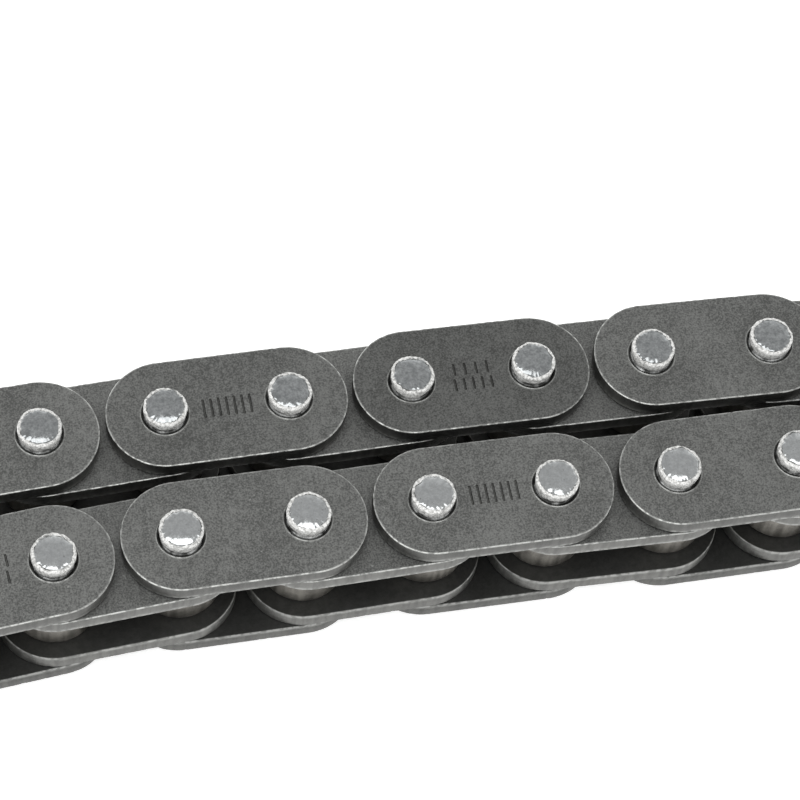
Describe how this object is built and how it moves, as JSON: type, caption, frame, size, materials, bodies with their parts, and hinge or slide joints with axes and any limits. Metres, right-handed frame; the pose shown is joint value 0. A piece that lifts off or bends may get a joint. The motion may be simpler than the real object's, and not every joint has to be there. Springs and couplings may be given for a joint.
{
  "type": "roller chain",
  "caption": "Steel roller chain, an open length folded back on itself and lying on its side, with riveted pins and rollers that turn freely.",
  "frame": {"origin": "centre of the first end bush's bore, on the chain's middle plane", "axes": "+Z along the pins, up as the chain lies on its side; +X along the first run towards the fold; +Y from the first run to the second"},
  "size_m": [0.0799, 0.0179, 0.0112],
  "materials": {
    "inner_plate_steel": "dark heat-treated steel, matte, fine tumbled grain",
    "outer_plate_steel": "dark heat-treated steel, matte, fine tumbled grain with bright worn edges",
    "pin_steel": "bright ground pin, riveted ends with a crushed rim",
    "bush_steel": "oiled hardened steel",
    "roller_steel": "satin case-hardened steel, slightly warm"
  },
  "bodies": {
    "link_01": {"inner_plates_01": "inner_plate_steel", "bushes_01": "bush_steel"},
    "roller_01a": {"roller_01a": "roller_steel"},
    "roller_01b": {"roller_01b": "roller_steel"},
    "link_02": {"outer_plates_02": "outer_plate_steel", "pins_02": "pin_steel"},
    "link_03": {"inner_plates_03": "inner_plate_steel", "bushes_03": "bush_steel"},
    "roller_03a": {"roller_03a": "roller_steel"},
    "roller_03b": {"roller_03b": "roller_steel"},
    "link_04": {"outer_plates_04": "outer_plate_steel", "pins_04": "pin_steel"},
    "link_05": {"inner_plates_05": "inner_plate_steel", "bushes_05": "bush_steel"},
    "roller_05a": {"roller_05a": "roller_steel"},
    "roller_05b": {"roller_05b": "roller_steel"},
    "link_06": {"outer_plates_06": "outer_plate_steel", "pins_06": "pin_steel"},
    "link_07": {"inner_plates_07": "inner_plate_steel", "bushes_07": "bush_steel"},
    "roller_07a": {"roller_07a": "roller_steel"},
    "roller_07b": {"roller_07b": "roller_steel"},
    "link_08": {"outer_plates_08": "outer_plate_steel", "pins_08": "pin_steel"},
    "link_09": {"inner_plates_09": "inner_plate_steel", "bushes_09": "bush_steel"},
    "roller_09a": {"roller_09a": "roller_steel"},
    "roller_09b": {"roller_09b": "roller_steel"},
    "link_10": {"outer_plates_10": "outer_plate_steel", "pins_10": "pin_steel"},
    "link_11": {"inner_plates_11": "inner_plate_steel", "bushes_11": "bush_steel"},
    "roller_11a": {"roller_11a": "roller_steel"},
    "roller_11b": {"roller_11b": "roller_steel"},
    "link_12": {"outer_plates_12": "outer_plate_steel", "pins_12": "pin_steel"},
    "link_13": {"inner_plates_13": "inner_plate_steel", "bushes_13": "bush_steel"},
    "roller_13a": {"roller_13a": "roller_steel"},
    "roller_13b": {"roller_13b": "roller_steel"},
    "link_14": {"outer_plates_14": "outer_plate_steel", "pins_14": "pin_steel"},
    "link_15": {"inner_plates_15": "inner_plate_steel", "bushes_15": "bush_steel"},
    "roller_15a": {"roller_15a": "roller_steel"},
    "roller_15b": {"roller_15b": "roller_steel"},
    "link_16": {"outer_plates_16": "outer_plate_steel", "pins_16": "pin_steel"},
    "link_17": {"inner_plates_17": "inner_plate_steel", "bushes_17": "bush_steel"},
    "roller_17a": {"roller_17a": "roller_steel"},
    "roller_17b": {"roller_17b": "roller_steel"},
    "link_18": {"outer_plates_18": "outer_plate_steel", "pins_18": "pin_steel"},
    "link_19": {"inner_plates_19": "inner_plate_steel", "bushes_19": "bush_steel"},
    "roller_19a": {"roller_19a": "roller_steel"},
    "roller_19b": {"roller_19b": "roller_steel"}
  },
  "joints": [
    {"name": "pivot_01", "type": "hinge", "parent": "link_02", "child": "link_01", "pos_m": [0.00798, 0.00056, 0], "axis": [0, 0, 1], "range_deg": [0, 60]},
    {"name": "pivot_02", "type": "hinge", "parent": "link_03", "child": "link_02", "pos_m": [0.01595, 0.00124, 0], "axis": [0, 0, -1], "range_deg": [-60, 0]},
    {"name": "pivot_03", "type": "hinge", "parent": "link_04", "child": "link_03", "pos_m": [0.02394, 0.0017, 0], "axis": [0, 0, 1], "range_deg": [0, 60]},
    {"name": "pivot_04", "type": "hinge", "parent": "link_05", "child": "link_04", "pos_m": [0.03194, 0.00166, 0], "axis": [0, 0, -1], "range_deg": [-60, 0]},
    {"name": "pivot_05", "type": "hinge", "parent": "link_06", "child": "link_05", "pos_m": [0.03994, 0.00176, 0], "axis": [0, 0, 1], "range_deg": [0, 60]},
    {"name": "pivot_06", "type": "hinge", "parent": "link_07", "child": "link_06", "pos_m": [0.04794, 0.00165, 0], "axis": [0, 0, -1], "range_deg": [-60, 0]},
    {"name": "pivot_07", "type": "hinge", "parent": "link_08", "child": "link_07", "pos_m": [0.05593, 0.00139, 0], "axis": [0, 0, 1], "range_deg": [0, 60]},
    {"name": "pivot_08", "type": "hinge", "parent": "link_09", "child": "link_08", "pos_m": [0.06393, 0.00134, 0], "axis": [0, 0, -1], "range_deg": [-60, 0]},
    {"name": "pivot_09", "type": "hinge", "parent": "link_10", "child": "link_09", "pos_m": [0.07193, 0.00142, 0], "axis": [0, 0, 1], "range_deg": [0, 60]},
    {"name": "pivot_10", "type": "hinge", "parent": "link_10", "child": "link_11", "pos_m": [0.07231, 0.00941, 0], "axis": [0, 0, 1], "range_deg": [-60, 0]},
    {"name": "pivot_11", "type": "hinge", "parent": "link_11", "child": "link_12", "pos_m": [0.06432, 0.00979, 0], "axis": [0, 0, -1], "range_deg": [0, 60]},
    {"name": "pivot_12", "type": "hinge", "parent": "link_12", "child": "link_13", "pos_m": [0.05632, 0.01006, 0], "axis": [0, 0, 1], "range_deg": [-60, 0]},
    {"name": "pivot_13", "type": "hinge", "parent": "link_13", "child": "link_14", "pos_m": [0.04832, 0.01021, 0], "axis": [0, 0, -1], "range_deg": [0, 60]},
    {"name": "pivot_14", "type": "hinge", "parent": "link_14", "child": "link_15", "pos_m": [0.04032, 0.01035, 0], "axis": [0, 0, 1], "range_deg": [-60, 0]},
    {"name": "pivot_15", "type": "hinge", "parent": "link_15", "child": "link_16", "pos_m": [0.03232, 0.01031, 0], "axis": [0, 0, -1], "range_deg": [0, 60]},
    {"name": "pivot_16", "type": "hinge", "parent": "link_16", "child": "link_17", "pos_m": [0.02432, 0.01032, 0], "axis": [0, 0, 1], "range_deg": [-60, 0]},
    {"name": "pivot_17", "type": "hinge", "parent": "link_17", "child": "link_18", "pos_m": [0.01633, 0.01003, 0], "axis": [0, 0, -1], "range_deg": [0, 60]},
    {"name": "pivot_18", "type": "hinge", "parent": "link_18", "child": "link_19", "pos_m": [0.00834, 0.00969, 0], "axis": [0, 0, 1], "range_deg": [-60, 0]},
    {"name": "roller_spin_01a", "type": "hinge", "parent": "link_01", "child": "roller_01a", "pos_m": [0, 0, 0], "axis": [0, 0, 1], "continuous": true},
    {"name": "roller_spin_01b", "type": "hinge", "parent": "link_01", "child": "roller_01b", "pos_m": [0.00798, 0.00056, 0], "axis": [0, 0, 1], "continuous": true},
    {"name": "roller_spin_03a", "type": "hinge", "parent": "link_03", "child": "roller_03a", "pos_m": [0.01595, 0.00124, 0], "axis": [0, 0, 1], "continuous": true},
    {"name": "roller_spin_03b", "type": "hinge", "parent": "link_03", "child": "roller_03b", "pos_m": [0.02394, 0.0017, 0], "axis": [0, 0, 1], "continuous": true},
    {"name": "roller_spin_05a", "type": "hinge", "parent": "link_05", "child": "roller_05a", "pos_m": [0.03194, 0.00166, 0], "axis": [0, 0, 1], "continuous": true},
    {"name": "roller_spin_05b", "type": "hinge", "parent": "link_05", "child": "roller_05b", "pos_m": [0.03994, 0.00176, 0], "axis": [0, 0, 1], "continuous": true},
    {"name": "roller_spin_07a", "type": "hinge", "parent": "link_07", "child": "roller_07a", "pos_m": [0.04794, 0.00165, 0], "axis": [0, 0, 1], "continuous": true},
    {"name": "roller_spin_07b", "type": "hinge", "parent": "link_07", "child": "roller_07b", "pos_m": [0.05593, 0.00139, 0], "axis": [0, 0, 1], "continuous": true},
    {"name": "roller_spin_09a", "type": "hinge", "parent": "link_09", "child": "roller_09a", "pos_m": [0.06393, 0.00134, 0], "axis": [0, 0, 1], "continuous": true},
    {"name": "roller_spin_09b", "type": "hinge", "parent": "link_09", "child": "roller_09b", "pos_m": [0.07193, 0.00142, 0], "axis": [0, 0, 1], "continuous": true},
    {"name": "roller_spin_11a", "type": "hinge", "parent": "link_11", "child": "roller_11a", "pos_m": [0.07231, 0.00941, 0], "axis": [0, 0, 1], "continuous": true},
    {"name": "roller_spin_11b", "type": "hinge", "parent": "link_11", "child": "roller_11b", "pos_m": [0.06432, 0.00979, 0], "axis": [0, 0, 1], "continuous": true},
    {"name": "roller_spin_13a", "type": "hinge", "parent": "link_13", "child": "roller_13a", "pos_m": [0.05632, 0.01006, 0], "axis": [0, 0, 1], "continuous": true},
    {"name": "roller_spin_13b", "type": "hinge", "parent": "link_13", "child": "roller_13b", "pos_m": [0.04832, 0.01021, 0], "axis": [0, 0, 1], "continuous": true},
    {"name": "roller_spin_15a", "type": "hinge", "parent": "link_15", "child": "roller_15a", "pos_m": [0.04032, 0.01035, 0], "axis": [0, 0, 1], "continuous": true},
    {"name": "roller_spin_15b", "type": "hinge", "parent": "link_15", "child": "roller_15b", "pos_m": [0.03232, 0.01031, 0], "axis": [0, 0, 1], "continuous": true},
    {"name": "roller_spin_17a", "type": "hinge", "parent": "link_17", "child": "roller_17a", "pos_m": [0.02432, 0.01032, 0], "axis": [0, 0, 1], "continuous": true},
    {"name": "roller_spin_17b", "type": "hinge", "parent": "link_17", "child": "roller_17b", "pos_m": [0.01633, 0.01003, 0], "axis": [0, 0, 1], "continuous": true},
    {"name": "roller_spin_19a", "type": "hinge", "parent": "link_19", "child": "roller_19a", "pos_m": [0.00834, 0.00969, 0], "axis": [0, 0, 1], "continuous": true},
    {"name": "roller_spin_19b", "type": "hinge", "parent": "link_19", "child": "roller_19b", "pos_m": [0.00034, 0.00948, 0], "axis": [0, 0, 1], "continuous": true}
  ]
}
